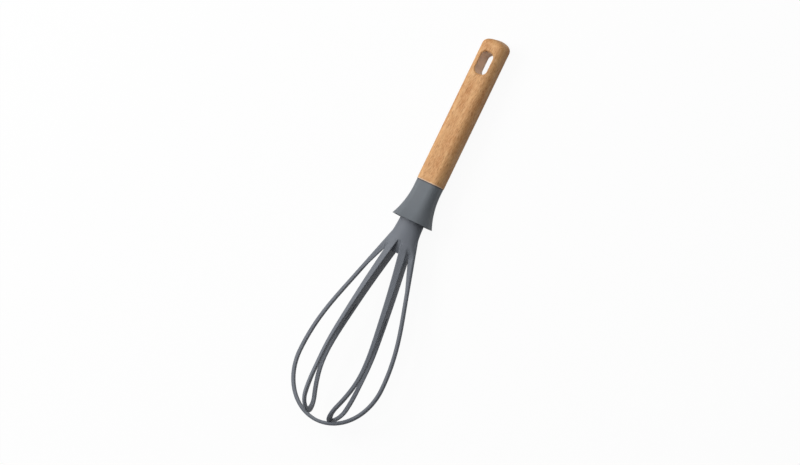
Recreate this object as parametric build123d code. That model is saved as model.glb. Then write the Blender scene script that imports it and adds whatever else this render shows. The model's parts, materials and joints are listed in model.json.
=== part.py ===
from build123d import *
import math
import os

# Hand whisk: a beech handle, a moulded collar and a one-piece moulded whisk head.
# While it is put together the long axis is X, with x = 0 where the wood meets the collar,
# the handle towards +X, the whisk head towards -X and the front face up (+Z).
# Places on the head and collar are distances from that joint, measured towards the tip.
# At the end everything is laid down as it comes to rest, on the collar's rim and the handle's end.

# Beech handle
HANDLE_LENGTH = 113.4
HANDLE_WIDTH = 19.8
HANDLE_DEPTH = 16.0
HANDLE_CORNER = 6.0
END_CROWN = 17.0
END_SLANT = 8.0
END_ROUND = 4.5

# Hanging slot through the handle
SLOT_LENGTH = 17.0
SLOT_WIDTH = 9.9
SLOT_CORNER = 4.0
SLOT_FROM_END = 20.3
SLOT_EASE = 0.8
SLOT_EASE_ANGLE = 45.0

# Collar between the wood and the head, with a hollow flared skirt
COLLAR_LENGTH = 29.7
COLLAR_STEP = 0.25
FLARE_START = 5.0
FLARE_RADIUS = 60.0
FLARE_STATIONS = 6
SKIRT_WALL = 1.6
SKIRT_DEPTH = 8.0

# Tang of the head, glued through the collar into the handle
TANG_DIAMETER = 9.0
TANG_IN_HANDLE = 32.0
TANG_CHAMFER = 1.0
TANG_FIT = 0.1
GLUE_GAP = 0.3

# Oval neck, and the nose where the tines part
NECK_WIDTH = 19.0
NECK_DEPTH = 14.5
NECK_KNEE = 36.8
NECK_FLARE_RADIUS = 46.0
NECK_INSET = 0.8
NOSE_DEPTH = 10.4
NOSE_START = 48.0
NOSE_END = 54.5
NOSE_EDGE = 1.2
NOSE_FULLNESS = 0.75
SCOOP_START = 44.7
SCOOP_WIDTH = 5.2

# Outer loop, a D-shaped strand with its round side outwards: straight, then a bend, then half an oval
TIP = 186.6
LOOP_WIDTH = 73.7
LOOP_WIDEST = 146.0
LOOP_SPLAY = 17.5
LOOP_STRAIGHT = 80.0
LOOP_ROOT = 32.0
LOOP_STRAND = 2.5
LOOP_DEPTH = 3.1
LOOP_ROUND = 1.25

# Two side blades, thin across and deep, that lean in to their outer face and open into an eye near the tip
BLADE_ROOT = 38.0
BLADE_ROOT_SPREAD = 2.8
BLADE_WIDEST = 142.0
BLADE_SPREAD = 17.75
BLADE_TIP_SPREAD = 9.0
BLADE_UPPER_BOW = 1.38
BLADE_LOWER_BOW = 1.85
BLADE_ROOT_WIDTH = 6.4
BLADE_TIP_WIDTH = 2.4
BLADE_ROOT_DEPTH = 11.4
BLADE_WAIST_DEPTH = 9.4
BLADE_LEAN = 16.0
BLADE_ROUND = 0.6
BLADE_STATIONS = 7

# Eye of a blade, a slit that widens into a drop
EYE_RADIUS = 10.7
EYE_STRAND = 3.7
EYE_OVERLAP = 0.7
EYE_START = 142.0
EYE_TAPER = 12.5
EYE_BLEND = 80.0
EYE_STATIONS = 4
SLIT_START = 100.0
SLIT_GAP = 1.2
SLIT_TAPER = 2.1

# Worked out from the sizes above
COLLAR_WIDTH = HANDLE_WIDTH - 2 * COLLAR_STEP
COLLAR_DEPTH = HANDLE_DEPTH - 2 * COLLAR_STEP
COLLAR_CORNER = HANDLE_CORNER - COLLAR_STEP
SHOULDER = COLLAR_LENGTH - SKIRT_DEPTH
TANG_BORE = TANG_DIAMETER + 2 * TANG_FIT
HANDLE_BORE = TANG_DIAMETER + 2 * GLUE_GAP
LOOP_RADIUS = LOOP_WIDTH / 2
LOOP_SLOPE = math.tan(math.radians(LOOP_SPLAY))
LOOP_INSIDE = LOOP_RADIUS - LOOP_STRAND
LOOP_TIP_REACH = math.sqrt(1 - (BLADE_TIP_SPREAD / LOOP_INSIDE) ** 2) * (TIP - LOOP_STRAND - LOOP_WIDEST)
BLADE_END = LOOP_WIDEST + LOOP_TIP_REACH + EYE_OVERLAP
EYE_CENTRE = BLADE_END - EYE_RADIUS
EYE_SHOULDER = EYE_CENTRE - EYE_RADIUS * math.sin(math.radians(EYE_TAPER))


def make_handle():
    body = extrude(Plane.YZ * RectangleRounded(HANDLE_WIDTH, HANDLE_DEPTH, HANDLE_CORNER), HANDLE_LENGTH)
    # The end is an arch in the front view, slanted so that the back stays the longer side.
    arch = Pos(HANDLE_LENGTH - END_CROWN, 0, -HANDLE_DEPTH / 2) * Circle(END_CROWN)
    shank = Pos(HANDLE_LENGTH / 2 - END_CROWN, 0, -HANDLE_DEPTH / 2) * Rectangle(HANDLE_LENGTH, 2 * END_CROWN)
    slant = Vector(-math.sin(math.radians(END_SLANT)), 0, math.cos(math.radians(END_SLANT)))
    body &= extrude(arch + shank, 2 * HANDLE_DEPTH, dir=slant)
    body = fillet(body.faces().sort_by(Axis.X)[-1].edges(), END_ROUND)
    slot = Pos(HANDLE_LENGTH - SLOT_FROM_END, 0, 0)
    body -= slot * extrude(RectangleRounded(SLOT_LENGTH, SLOT_WIDTH, SLOT_CORNER), HANDLE_DEPTH, both=True)
    # Both rims of the slot are eased.
    eased = 2 * SLOT_EASE
    wide = RectangleRounded(SLOT_LENGTH + eased, SLOT_WIDTH + eased, SLOT_CORNER + SLOT_EASE)
    rim = slot * Pos(0, 0, -HANDLE_DEPTH / 2) * extrude(wide, SLOT_EASE, taper=SLOT_EASE_ANGLE)
    body -= [rim, mirror(rim, Plane.XY)]
    bore_depth = TANG_IN_HANDLE + GLUE_GAP
    body -= extrude(Plane.YZ * Circle(HANDLE_BORE / 2), bore_depth)
    return body


def flare(place):
    """Grow of the collar's outline at a distance from the joint: a large arc that leaves the wood's line."""
    run = max(place - FLARE_START, 0)
    return FLARE_RADIUS - math.sqrt(FLARE_RADIUS**2 - run**2)


def collar_section(place, inset=0.0):
    grow = flare(place) - inset
    section = RectangleRounded(COLLAR_WIDTH + 2 * grow, COLLAR_DEPTH + 2 * grow, COLLAR_CORNER + grow)
    return Plane.YZ.offset(-place) * section


def make_collar():
    step = (COLLAR_LENGTH - FLARE_START) / FLARE_STATIONS
    places = [FLARE_START + step * i for i in range(FLARE_STATIONS + 1)]
    body = extrude(collar_section(0), -FLARE_START) + loft([collar_section(place) for place in places])
    middle = (SHOULDER + COLLAR_LENGTH) / 2
    body -= loft([collar_section(place, SKIRT_WALL) for place in (SHOULDER, middle, COLLAR_LENGTH)])
    body -= extrude(Plane.YZ * Circle(TANG_BORE / 2), -COLLAR_LENGTH)
    return body


def oval(place, wide, deep):
    """A section of the neck from half its width and half its depth."""
    return Plane.YZ.offset(-place) * Ellipse(wide, deep)


def make_neck():
    # The oval neck flares with the loop's outline and stays a little inside it, so the strands stand proud.
    turn = math.radians(LOOP_SPLAY) / 2
    reach = NECK_FLARE_RADIUS * math.tan(turn)
    bulge = NECK_FLARE_RADIUS * (1 / math.cos(turn) - 1)
    half = NECK_WIDTH / 2
    nose_half = half + LOOP_SLOPE * (NOSE_START - NECK_KNEE) - NECK_INSET
    knee_depth = (2 * NECK_DEPTH + NOSE_DEPTH) / 3
    above = oval(SHOULDER, half, NECK_DEPTH / 2)
    straight = oval(NECK_KNEE - reach, half, NECK_DEPTH / 2)
    knee = oval(NECK_KNEE, half + bulge, knee_depth / 2)
    thick = oval(NOSE_START, nose_half, NOSE_DEPTH / 2)
    # Past the neck the front and back round in to a thin edge between the tines.
    end_half = half + LOOP_SLOPE * (NOSE_END - NECK_KNEE) - LOOP_STRAND / 2
    middle = (NOSE_START + NOSE_END) / 2
    full = oval(middle, (nose_half + end_half) / 2, NOSE_FULLNESS * NOSE_DEPTH / 2)
    thin = oval(NOSE_END, end_half, NOSE_EDGE / 2)
    scoop = make_scoop()
    neck = loft([above, straight, knee, thick]) + loft([thick, full, thin])
    return neck - [scoop, mirror(scoop, Plane.XY)]


def make_scoop():
    # The hollow between the blades has a round top and a floor that slopes down to the thin edge.
    radius = SCOOP_WIDTH / 2
    top = -SCOOP_START
    bottom = -NOSE_END - radius
    plan = Pos(top - radius, 0) * Circle(radius)
    plan += Pos((top - radius + bottom) / 2, 0) * Rectangle(top - radius - bottom, SCOOP_WIDTH)
    deep = NOSE_EDGE / 2
    floor = Polyline((top, BLADE_ROOT_DEPTH / 2), (-NOSE_END, deep), (bottom, deep), (bottom, NECK_DEPTH))
    above = make_face([*floor.edges(), *Polyline(floor @ 1, (top, NECK_DEPTH), floor @ 0).edges()])
    return extrude(plan, NECK_DEPTH) & extrude(Plane.XZ * above, SCOOP_WIDTH, both=True)


def make_tang():
    tang = extrude(Plane.YZ.offset(-SHOULDER) * Circle(TANG_DIAMETER / 2), SHOULDER + TANG_IN_HANDLE)
    return chamfer(tang.faces().sort_by(Axis.X)[-1].edges(), TANG_CHAMFER)


def make_loop():
    half = NECK_WIDTH / 2
    root = Vector(-LOOP_ROOT, half + LOOP_SLOPE * (LOOP_ROOT - NECK_KNEE))
    bend = Vector(-LOOP_STRAIGHT, half + LOOP_SLOPE * (LOOP_STRAIGHT - NECK_KNEE))
    widest = Vector(-LOOP_WIDEST, LOOP_RADIUS)
    straight = Line(root, bend)
    side = Spline(bend, widest, tangents=[straight % 1, (-1, 0)])
    tip = EllipticalCenterArc((-LOOP_WIDEST, 0), TIP - LOOP_WIDEST, LOOP_RADIUS, 90, arc_size=180)
    there = [straight, side]
    path = Wire([*there, tip, *[mirror(edge, Plane.XZ).edge() for edge in there]])
    section = Pos(0, -LOOP_STRAND / 2) * Rectangle(LOOP_DEPTH, LOOP_STRAND)
    section = fillet(section.vertices().sort_by(Axis.Y)[2:], LOOP_ROUND)
    across = Plane(origin=path @ 0, x_dir=(0, 0, 1), z_dir=path % 0)
    return sweep(across * section, path=path)


def blade_edge(place, side):
    """A point on one edge of a blade in the front view: its middle line and half its width."""
    if place < BLADE_WIDEST:
        part = (BLADE_WIDEST - place) / (BLADE_WIDEST - BLADE_ROOT)
        middle = BLADE_SPREAD - (BLADE_SPREAD - BLADE_ROOT_SPREAD) * part**BLADE_UPPER_BOW
    else:
        part = (place - BLADE_WIDEST) / (BLADE_END - BLADE_WIDEST)
        middle = BLADE_SPREAD - (BLADE_SPREAD - BLADE_TIP_SPREAD) * part**BLADE_LOWER_BOW
    left = (BLADE_END - place) / (BLADE_END - BLADE_ROOT)
    width = BLADE_TIP_WIDTH + (BLADE_ROOT_WIDTH - BLADE_TIP_WIDTH) * left**2
    return Vector(-place, middle + side * width / 2)


def blade_front():
    step = (BLADE_END - BLADE_ROOT) / (BLADE_STATIONS - 1)
    places = [BLADE_ROOT + step * i for i in range(BLADE_STATIONS)]
    outer = Spline(*[blade_edge(place, 1) for place in places])
    inner = Spline(*[blade_edge(place, -1) for place in places])
    return make_face([outer, inner, Line(outer @ 0, inner @ 0), Line(outer @ 1, inner @ 1)])


def half_depth(place):
    """Half the depth of a blade's inner face: it thins a little down to the eye, then grows into the drop."""
    if place < EYE_START:
        part = (place - BLADE_ROOT) / (EYE_START - BLADE_ROOT)
        return (BLADE_ROOT_DEPTH + (BLADE_WAIST_DEPTH - BLADE_ROOT_DEPTH) * part) / 2
    run = EYE_SHOULDER - EYE_START
    part = (place - EYE_START) / run
    waist = BLADE_WAIST_DEPTH / 2
    grow = EYE_RADIUS * math.cos(math.radians(EYE_TAPER)) - waist
    slope = math.tan(math.radians(EYE_TAPER)) * run
    return waist + grow * (3 - 2 * part) * part**2 - slope * (1 - part) * part**2


def before_blade(reach):
    """Side view of the space in front of a blade, at a distance from the middle plane."""
    # A blade gets thinner from its inner face outwards, by its lean.
    lean = math.tan(math.radians(BLADE_LEAN))
    down = [BLADE_ROOT + (EYE_START - BLADE_ROOT) * i / BLADE_STATIONS for i in range(BLADE_STATIONS)]
    down += [EYE_START + (EYE_SHOULDER - EYE_START) * i / EYE_STATIONS for i in range(EYE_STATIONS + 1)]
    rises = [lean * (blade_edge(place, -1).Y - reach) for place in down]
    front = Spline(*[(-place, half_depth(place) + rise) for place, rise in zip(down, rises)])
    shoulder = front @ 1
    end = BLADE_END + lean * (blade_edge(BLADE_END, -1).Y - reach)
    arc = ThreePointArc(shoulder, (-end, 0), (shoulder.X, -shoulder.Y)).edge().trim(0, 0.5)
    clear = 2 * EYE_RADIUS
    beyond = -TIP - clear
    border = Polyline(arc @ 1, (beyond, 0), (beyond, clear), (-BLADE_ROOT, clear), front @ 0)
    return Plane.XZ.offset(-reach) * make_face([front, arc, *border.edges()])


def eye_side():
    """Side view of the slit and the drop that it widens into."""
    radius = EYE_RADIUS - EYE_STRAND
    angle = math.radians(EYE_TAPER)
    touch = Vector(radius * math.sin(angle), radius * math.cos(angle))
    wedge = make_face(Polyline(touch, (radius / math.sin(angle), 0), (touch.X, -touch.Y), close=True))
    start = SLIT_GAP / 2
    end = start + math.tan(math.radians(SLIT_TAPER)) * (EYE_CENTRE - SLIT_START)
    top, bottom = -SLIT_START, -EYE_CENTRE
    slit = Polyline((top, start), (bottom, end), (bottom, -end), (top, -start), close=True)
    eye = make_face(slit) + Pos(bottom, 0) * (Circle(radius) + wedge)
    corners = [corner for corner in eye.vertices() if bottom + EYE_RADIUS < corner.X < top - EYE_RADIUS]
    return fillet(corners, EYE_BLEND) + Pos(top, 0) * Circle(start)


def make_blade():
    blade = extrude(Pos(0, 0, -2 * EYE_RADIUS) * blade_front(), 4 * EYE_RADIUS)
    reaches = (-BLADE_ROOT_WIDTH, BLADE_SPREAD + BLADE_ROOT_WIDTH)
    before = loft([before_blade(reach) for reach in reaches], ruled=True)
    eye = extrude(Plane.XZ * eye_side(), LOOP_RADIUS, both=True)
    blade -= [before, mirror(before, Plane.XY), eye]
    # The outlines of the two large faces are rounded, all but the edges buried in the neck.
    sides = blade.faces().sort_by(SortBy.AREA)[-2:]
    rims = [edge for side in sides for edge in side.outer_wire().edges().sort_by(Axis.X)[:-1]]
    return fillet(rims, BLADE_ROUND)


def make_head():
    blade = make_blade()
    return make_neck() + [make_tang(), make_loop(), blade, mirror(blade, Plane.XZ)]


def rest_tilt():
    """Angle that brings the collar's rim and the round of the handle's end down to one level."""
    rim = COLLAR_DEPTH / 2 + flare(COLLAR_LENGTH)
    along = HANDLE_LENGTH - END_ROUND + COLLAR_LENGTH
    rise = rim - (HANDLE_DEPTH / 2 - END_ROUND)
    return math.degrees(math.atan2(rise, along) - math.asin(END_ROUND / math.hypot(along, rise)))


parts = {"handle": make_handle(), "collar": make_collar(), "whisk_head": make_head()}
laid = {name: Rot(0, rest_tilt(), 0) * shape for name, shape in parts.items()}
box = Compound(list(laid.values())).bounding_box()
ground = Pos(-box.center().X, -box.center().Y, -box.min.Z)
os.makedirs("parts", exist_ok=True)
for name, shape in laid.items():
    export_step(ground * shape, f"parts/{name}.step")
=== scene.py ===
import json
import math

import bmesh
import bpy
from mathutils import Matrix, Vector


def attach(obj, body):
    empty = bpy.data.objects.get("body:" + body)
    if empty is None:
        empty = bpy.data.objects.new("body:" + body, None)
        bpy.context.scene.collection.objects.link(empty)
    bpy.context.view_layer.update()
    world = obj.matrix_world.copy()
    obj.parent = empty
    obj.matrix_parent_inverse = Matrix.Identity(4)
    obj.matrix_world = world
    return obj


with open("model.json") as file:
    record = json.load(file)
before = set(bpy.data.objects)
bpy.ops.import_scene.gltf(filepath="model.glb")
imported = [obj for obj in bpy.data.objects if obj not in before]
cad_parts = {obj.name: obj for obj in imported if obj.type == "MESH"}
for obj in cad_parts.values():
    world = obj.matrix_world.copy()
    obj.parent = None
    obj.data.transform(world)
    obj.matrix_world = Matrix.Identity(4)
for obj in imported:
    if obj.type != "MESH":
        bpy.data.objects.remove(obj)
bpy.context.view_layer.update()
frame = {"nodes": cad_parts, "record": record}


# The handle is a shaped and sanded stick of steamed beech, arched at its end and slotted to hang from a hook.
# It is left bare, so the colour drifts along the grain and short dark rays fleck the whole surface.
# The lower edge was cut last and is paler. The wall of the slot is painted pale too: partly the paler cut
# wood, and partly painted light that stands in for the light that the deep slot does not get.
class Paint:
    """One socket of a material, so that sums on it add Math nodes."""

    def __init__(self, socket):
        self.socket = socket

    def node(self, kind, settings, sockets, output=0):
        """A new node in the same material: its settings first, then the values or links of its sockets."""
        tree = self.socket.id_data
        made = tree.nodes.new("ShaderNode" + kind)
        for name, value in settings.items():
            setattr(made, name, value)
        for name, value in sockets.items():
            if isinstance(value, Paint):
                tree.links.new(value.socket, made.inputs[name])
            else:
                made.inputs[name].default_value = value
        return Paint(made.outputs[output])

    def sum(self, operation, first, second):
        return self.node("Math", {"operation": operation}, {0: first, 1: second})

    def __add__(self, other):
        return self.sum("ADD", self, other)

    def __radd__(self, other):
        return self.sum("ADD", other, self)

    def __rsub__(self, other):
        return self.sum("SUBTRACT", other, self)

    def __mul__(self, other):
        return self.sum("MULTIPLY", self, other)

    def __rmul__(self, other):
        return self.sum("MULTIPLY", other, self)

    def mix(self, first, second):
        """The first colour where this is 0, going over to the second where it is 1."""
        return self.node("Mix", {"data_type": "RGBA"}, {0: self, 6: first, 7: second}, 2)

    def rise(self, start, end, most=1):
        """0 as far as the start, then growing to the most at the end."""
        sockets = {"Value": self, "From Min": start, "From Max": end, "To Max": most}
        return self.node("MapRange", {}, sockets)

    def noise(self, scale, detail, roughness=0.5):
        """Soft noise over this place, mostly near 0.5."""
        sockets = {"Vector": self, "Scale": scale, "Detail": detail, "Roughness": roughness}
        return self.node("TexNoise", {}, sockets)

    def axis(self, index):
        """One coordinate of this place."""
        return self.node("SeparateXYZ", {}, {"Vector": self}, index)


def colour(red, green, blue):
    """A colour of 0 to 255 as a screen shows it, turned into the light that it stands for."""
    parts = [part / 255 for part in (red, green, blue)]
    return [part / 12.92 if part <= 0.04045 else ((part + 0.055) / 1.055) ** 2.4 for part in parts] + [1]


def finish_for(node, name):
    """A new material on a CAD node: its principled shader, and the place on the piece to paint by."""
    material = bpy.data.materials.new(name)
    material.use_nodes = True
    shader = material.node_tree.nodes["Principled BSDF"]
    place = Paint(material.node_tree.nodes.new("ShaderNodeTexCoord").outputs["Object"])
    mesh = frame["nodes"][node].data
    mesh.materials.clear()
    mesh.materials.append(material)
    return shader, place


def connect(paint, shader, socket):
    shader.id_data.links.new(paint.socket, shader.inputs[socket])


def straightened(place):
    """The place along the whisk's own line, from the joint of wood and collar towards the handle's end."""
    lying = {"Vector": place, "Location": joint, "Rotation": (0, rest_tilt, 0)}
    return place.node("Mapping", {"vector_type": "TEXTURE"}, lying)


BEECH_LIGHT = colour(212, 164, 112)
BEECH_DARK = colour(190, 135, 86)
TONE_RANGE = (0.36, 0.64)
GRAIN_ROOM = (22, 300, 300)
GRAIN_DETAIL = 4
GRAIN_ROUGHNESS = 0.55
GRAIN_SHARE = 0.6
BLOTCH_ROOM = 130
BLOTCH_DETAIL = 3
RAY_BROWN = colour(148, 100, 60)
RAY_PALE = colour(228, 190, 144)
BROWN_RANGE = (0.54, 0.7, 0.6)
PALE_RANGE = (0.46, 0.3, 0.4)
RAY_LEAN = math.radians(7)
RAY_ROOM = (360, 1750, 1750)
RAY_DETAIL = 1
# The pale colour of cut wood, which on the slot's wall also serves as painted light.
PALE_CUT_AND_SLOT_LIGHT = colour(234, 212, 192)
LOWER_EDGE = (0.0009, 0, 0.7)
SLOT_MIDDLE = Vector((0.0931, 0, 0))
SLOT_ROOM = (100, 160, 0)
SLOT_RIM = (1.1, 1.0, 0.85)
SLOT_WALL = (0.0072, 0.0069)
WOOD_ROUGHNESS = 0.52
DARK_ROUGHER = 0.12
WOOD_GLOSS = 0.25
WOOD_PORES = {"Strength": 0.15, "Distance": 0.0002}

hanging_slot = frame["record"]["mounts"][0]
rest_tilt = math.atan2(hanging_slot["axis"][0], hanging_slot["axis"][2])
tilted = Matrix.Rotation(rest_tilt, 4, "Y")
joint = Vector(hanging_slot["pos_m"]) - tilted @ SLOT_MIDDLE

beech, along = finish_for("handle", "bare_beech")
grain = along.node("Mapping", {}, {"Vector": along, "Scale": GRAIN_ROOM})
drift = grain.noise(1, GRAIN_DETAIL, GRAIN_ROUGHNESS)
blotch = along.noise(BLOTCH_ROOM, BLOTCH_DETAIL)
tone = (GRAIN_SHARE * drift + (1 - GRAIN_SHARE) * blotch).rise(*TONE_RANGE)
wood = tone.mix(BEECH_LIGHT, BEECH_DARK)
leaning = along.node("Mapping", {}, {"Vector": along, "Rotation": (0, 0, RAY_LEAN)})
rays = along.node("Mapping", {}, {"Vector": leaning, "Scale": RAY_ROOM})
fleck = rays.noise(1, RAY_DETAIL)
brown = fleck.rise(*BROWN_RANGE)
pale = fleck.rise(*PALE_RANGE)
wood = pale.mix(brown.mix(wood, RAY_BROWN), RAY_PALE)
straight = straightened(along)
wood = straight.axis(0).rise(*LOWER_EDGE).mix(wood, PALE_CUT_AND_SLOT_LIGHT)
# Painted light: the slot's wall is painted pale, partly as paler cut wood and partly to stand in for light
# that does not reach into the slot.
slot = along.node("VectorMath", {"operation": "SUBTRACT"}, {0: straight, 1: SLOT_MIDDLE})
outline = along.node("VectorMath", {"operation": "MULTIPLY"}, {0: slot, 1: SLOT_ROOM})
within = along.node("VectorMath", {"operation": "LENGTH"}, {0: outline}, 1).rise(*SLOT_RIM)
below = along.node("Math", {"operation": "ABSOLUTE"}, {0: slot.axis(2)}).rise(*SLOT_WALL)
connect((within * below).mix(wood, PALE_CUT_AND_SLOT_LIGHT), beech, "Base Color")
connect(WOOD_ROUGHNESS + DARK_ROUGHER * tone, beech, "Roughness")
connect(along.node("Bump", {}, {**WOOD_PORES, "Height": 1 - brown}), beech, "Normal")
beech.inputs["Specular IOR Level"].default_value = WOOD_GLOSS


# The collar is moulded nylon in a cool grey, with a fine even texture from its mould.
# It sits on the head's tang against the end of the wood, a little inside it, and the shade in the gap between
# them is painted as a dark band along the collar's top edge.
# Its hollow skirt flares over the neck.
NYLON_GREY = colour(110, 115, 120)
NYLON_DEEP = colour(101, 106, 111)
NYLON_CLOUDS = 90
CLOUD_DETAIL = 3
NYLON_ROUGHNESS = 0.44
NYLON_GLOSS = 0.15
NYLON_BUMP = {"Strength": 0.06, "Distance": 0.00008}
# The painted shade of the gap against the wood, and how far from the joint it reaches.
PAINTED_GAP_SHADE = colour(60, 50, 44)
PAINTED_GAP_BAND = (-0.0012, 0, 0.9)
MOULD_GRAIN = 2600
MOULD_DETAIL = 2
GRAIN_ROUGHER = 0.12


def mould_texture(shader, place, roughness, gloss, bump):
    """The satin of moulded plastic, with the fine grain that its mould leaves."""
    speck = place.noise(MOULD_GRAIN, MOULD_DETAIL)
    connect(roughness + GRAIN_ROUGHER * speck, shader, "Roughness")
    connect(place.node("Bump", {}, {**bump, "Height": speck}), shader, "Normal")
    shader.inputs["Specular IOR Level"].default_value = gloss


nylon, inside = finish_for("collar", "collar_nylon")
cloud = inside.noise(NYLON_CLOUDS, CLOUD_DETAIL)
# Painted shade: a dark band along the collar's top edge stands for the shadow in the gap against the wood.
painted_gap = straightened(inside).axis(0).rise(*PAINTED_GAP_BAND)
connect(painted_gap.mix(cloud.mix(NYLON_GREY, NYLON_DEEP), PAINTED_GAP_SHADE), nylon, "Base Color")
mould_texture(nylon, inside, NYLON_ROUGHNESS, NYLON_GLOSS, NYLON_BUMP)


# The head is one moulding of neck, loop, blades and eyes, in a nylon a little bluer than the collar's.
# It is fixed by a tang that is glued through the collar into the wood.
HEAD_GREY = colour(113, 117, 124)
HEAD_DEEP = colour(104, 108, 115)
HEAD_CLOUDS = 70
HEAD_ROUGHNESS = 0.4
HEAD_GLOSS = 0.12
HEAD_BUMP = {"Strength": 0.04, "Distance": 0.00006}

moulding, spot = finish_for("whisk_head", "head_nylon")
cloud = spot.noise(HEAD_CLOUDS, CLOUD_DETAIL)
connect(cloud.mix(HEAD_GREY, HEAD_DEEP), moulding, "Base Color")
mould_texture(moulding, spot, HEAD_ROUGHNESS, HEAD_GLOSS, HEAD_BUMP)


# Where the tines leave the neck, the moulding runs out in a web on either side, with a narrow notch in it.
# Each web is part of the head, in the same nylon, and is faired into a blade and into a strand of the loop.
# Its places are in millimetres from the joint of wood and collar towards the tip, as in the part's source.
MILLIMETRE = 0.001
WEB_FROM = 43.0
WEB_DEPTH = 5.5
WEB_TAPER = 0.025
WEB_THIN = 0.8
WEB_STEPS = 8
UNDER_SKIN = 0.9
OUT_OF_SKIN = 50.0
OVAL_ENDS = 47.0
NOTCH_FROM = 54.5
NOTCH_ASIDE = 10.0
NOTCH_SPREAD = 0.4175
NOTCH_EDGE = 0.8
NOTCH_ROUND = 0.6
BLADE_MET = 63.0
BLADE_INSIDE = (0.72, 0.2048)
BLADE_INSET = 1.0
BLADE_OUTSIDE = (6.85, 0.158)
BLADE_FRONT = (5.6, -0.01)
BLADE_LEAN = 0.2867
WALL_STARTS = 0.3
WALL_ENDS = 0.5
STRAND_MET = 79.5
STRAND_OUTSIDE = (11.45, 0.3153)
STRAND_LEVEL = 1.5
STRAND_ROUND = 1.25
STRAND_INSET = 0.25
SAME_PLACE = 0.001

laid = Matrix.Translation(joint) @ tilted


def eased(value, start, end):
    """A smooth step from 0 at the start to 1 at the end."""
    part = min(max((value - start) / (end - start), 0), 1)
    return part * part * (3 - 2 * part)


def on_line(line, place):
    """A straight edge at a place, from where it is at the web's start and how fast it runs out."""
    return line[0] + line[1] * (place - WEB_FROM)


def blade_side(place):
    """The web's inner border, which is buried in the blade."""
    return on_line(BLADE_INSIDE, place) + BLADE_INSET


def web_middle(place):
    """The border between the web's halves, and past it the near side of the notch."""
    return NOTCH_ASIDE


def notch_side(place):
    """The same border as the strand's half has it, and past it the far side of the notch."""
    return NOTCH_ASIDE + NOTCH_SPREAD * max(place - NOTCH_FROM, 0)


def web_reach(place):
    """Half the width over both strands, a little less at the neck, where the web starts under its skin."""
    return on_line(STRAND_OUTSIDE, place) - UNDER_SKIN * (1 - eased(place, WEB_FROM, OUT_OF_SKIN))


def strand_side(place):
    """The web's outer border, which is buried in the strand."""
    return web_reach(place) - STRAND_INSET


def web_front(place, aside, level, gap):
    """Height of the front: the neck's oval, which goes over into a level and rounds at the notch."""
    oval = (WEB_DEPTH - WEB_TAPER * (place - WEB_FROM)) * math.sqrt(1 - (aside / web_reach(place)) ** 2)
    part = eased(place, OVAL_ENDS, NOTCH_FROM)
    near = max(1 - gap / NOTCH_ROUND, 0)
    return (oval + (level - oval) * part) * (1 - (1 - NOTCH_EDGE) * (1 - math.sqrt(1 - near**2)) * part)


def front_by_blade(place, aside):
    blade = on_line(BLADE_FRONT, place) - BLADE_LEAN * (aside - on_line(BLADE_INSIDE, place))
    wall = on_line(BLADE_OUTSIDE, place)
    level = blade + (STRAND_LEVEL - blade) * eased(aside, wall - WALL_STARTS, wall + WALL_ENDS)
    return web_front(place, aside, level, NOTCH_ASIDE - aside)


def front_by_strand(place, aside):
    over = max(aside - web_reach(place) + STRAND_ROUND, 0)
    level = STRAND_LEVEL - STRAND_ROUND + math.sqrt(STRAND_ROUND**2 - over**2)
    return web_front(place, aside, level, aside - notch_side(place))


def lay_half(web, met, near, far, front):
    """One half of a web between two lines. Its back mirrors the front, then thins out before the notch."""
    for is_back in (False, True):
        sheet = bmesh.ops.create_grid(web, x_segments=2 * WEB_STEPS, y_segments=WEB_STEPS, size=1)["verts"]
        for point in sheet:
            run = met - NOTCH_FROM if point.co.x > 0 else NOTCH_FROM - WEB_FROM
            place = NOTCH_FROM + run * point.co.x
            aside = near(place) + (far(place) - near(place)) * (point.co.y + 1) / 2
            height = front(place, aside)
            if is_back:
                height = -height + (2 * height - WEB_THIN) * eased(place, OVAL_ENDS, NOTCH_FROM)
            point.co = (-place, aside, height)


def make_web(name, hand):
    web = bmesh.new()
    lay_half(web, BLADE_MET, blade_side, web_middle, front_by_blade)
    lay_half(web, STRAND_MET, notch_side, strand_side, front_by_strand)
    bmesh.ops.remove_doubles(web, verts=web.verts, dist=SAME_PLACE)
    bmesh.ops.bridge_loops(web, edges=[edge for edge in web.edges if edge.is_boundary])
    bmesh.ops.scale(web, vec=(1, hand, 1), verts=web.verts)
    bmesh.ops.transform(web, matrix=laid @ Matrix.Scale(MILLIMETRE, 4), verts=web.verts)
    bmesh.ops.recalc_face_normals(web, faces=web.faces)
    for face in web.faces:
        face.smooth = True
    mesh = bpy.data.meshes.new(name)
    web.to_mesh(mesh)
    web.free()
    mesh.materials.append(bpy.data.materials["head_nylon"])
    piece = bpy.data.objects.new(name, mesh)
    bpy.context.scene.collection.objects.link(piece)
    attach(piece, "root")


make_web("web_left", 1)
make_web("web_right", -1)


# The surface that the whisk lies on is a large sheet of pale grey paper, which throws little light back up.
# What the camera sees of it is nearly white, and a part of it still takes the whisk's soft shadow.
PAPER = 6.0
PAPER_GREY = (0.45, 0.45, 0.45, 1)
PAPER_ROUGHNESS = 0.9
PAPER_GLOW = 0.9
PAPER_WHITE = 1.042


def seen_white(tree):
    """1 for what the camera sees, straight or in a gloss or through a clear piece, and 0 for other light."""
    ray = tree.nodes.new("ShaderNodeLightPath").outputs
    seen = Paint(ray["Is Camera Ray"])
    for kind in ("Is Glossy Ray", "Is Transmission Ray"):
        seen = seen.sum("MAXIMUM", seen, Paint(ray[kind]))
    return seen


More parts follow.
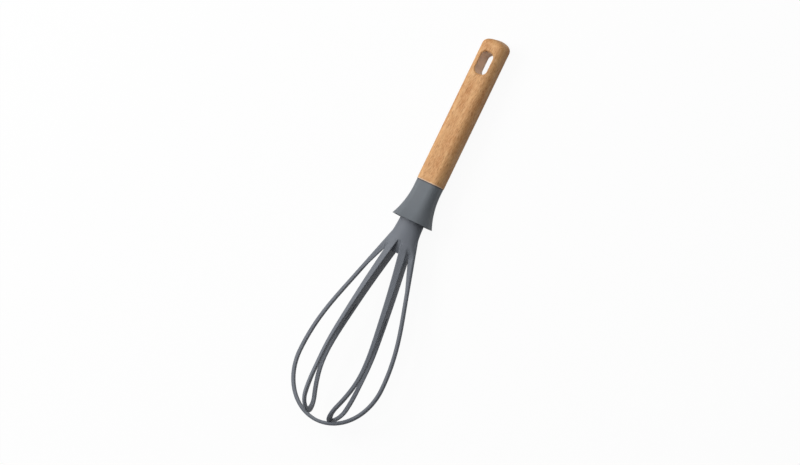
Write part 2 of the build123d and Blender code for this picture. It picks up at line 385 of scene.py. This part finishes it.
bpy.ops.mesh.primitive_plane_add(size=PAPER)
paper = bpy.context.object
paper.name = "paper"
sheet = bpy.data.materials.new("pale_paper")
sheet.use_nodes = True
paper.data.materials.append(sheet)
tree = sheet.node_tree
matt = tree.nodes["Principled BSDF"]
matt.inputs["Base Color"].default_value = PAPER_GREY
matt.inputs["Roughness"].default_value = PAPER_ROUGHNESS
glow = tree.nodes.new("ShaderNodeEmission")
glow.inputs["Strength"].default_value = PAPER_WHITE
shown = tree.nodes.new("ShaderNodeMixShader")
tree.links.new((seen_white(tree) * PAPER_GLOW).socket, shown.inputs[0])
tree.links.new(matt.outputs[0], shown.inputs[1])
tree.links.new(glow.outputs[0], shown.inputs[2])
tree.links.new(shown.outputs[0], tree.nodes["Material Output"].inputs["Surface"])


# The light is a round soft box on the left of the picture, with a wider one above the handle's end.
# Weak even light comes from all round, and the room behind is white to the camera.
# Each box has its place, its width and its power.
LIGHTS = {"side_box": ((0.0, 1.0, 1.0), 1.0, 16.8), "top_box": ((0.6, -0.12, 1.4), 1.6, 13.4)}
ROOM_LIGHT = 0.04

for name, (place, size, power) in LIGHTS.items():
    lamp = bpy.data.lights.new(name, "AREA")
    lamp.shape = "DISK"
    lamp.size = size
    lamp.energy = power
    soft_box = bpy.data.objects.new(name, lamp)
    bpy.context.scene.collection.objects.link(soft_box)
    soft_box.location = place
    soft_box.rotation_euler = Vector(place).to_track_quat("Z", "Y").to_euler()

world = bpy.data.worlds.new("room")
bpy.context.scene.world = world
world.use_nodes = True
tree = world.node_tree
room = tree.nodes["Background"]
tree.links.new((ROOM_LIGHT + (1 - ROOM_LIGHT) * seen_white(tree)).socket, room.inputs["Strength"])
room.inputs["Color"].default_value = (1, 1, 1, 1)


# The camera looks down on the lying whisk from a long way off and a little from the right.
# It is turned about its own line, so that the whisk leans in the picture, with the handle at the top right.
VIEW_LEAN = math.radians(25.0)
VIEW_PITCH = math.radians(1.5)
VIEW_ROLL = math.radians(25.76)
VIEW_DISTANCE = 4.0
VIEW_ALONG = 0.0404
VIEW_ASIDE = -0.0044
PIXELS_PER_METRE = 1414.5
IMAGE_WIDTH = 800
SENSOR_WIDTH = 36

toward = Vector((0, -math.sin(VIEW_LEAN), math.cos(VIEW_LEAN)))
right = Vector((0, -math.cos(VIEW_LEAN), -math.sin(VIEW_LEAN)))
down = Vector((-1, 0, 0))
middle = Vector((-VIEW_ALONG, 0, 0)) + VIEW_ASIDE * right
facing = math.cos(VIEW_PITCH) * toward + math.sin(VIEW_PITCH) * down
down = math.cos(VIEW_PITCH) * down - math.sin(VIEW_PITCH) * toward
across = math.cos(VIEW_ROLL) * right - math.sin(VIEW_ROLL) * down
up = -math.sin(VIEW_ROLL) * right - math.cos(VIEW_ROLL) * down
stand = Matrix.Translation(middle + VIEW_DISTANCE * facing)
lens = bpy.data.cameras.new("camera")
lens.sensor_width = SENSOR_WIDTH
lens.lens = PIXELS_PER_METRE * VIEW_DISTANCE / IMAGE_WIDTH * SENSOR_WIDTH
camera = bpy.data.objects.new("camera", lens)
bpy.context.scene.collection.objects.link(camera)
camera.matrix_world = laid @ stand @ Matrix((across, up, facing)).transposed().to_4x4()
bpy.context.scene.camera = camera
bpy.context.scene.view_settings.view_transform = "Standard"
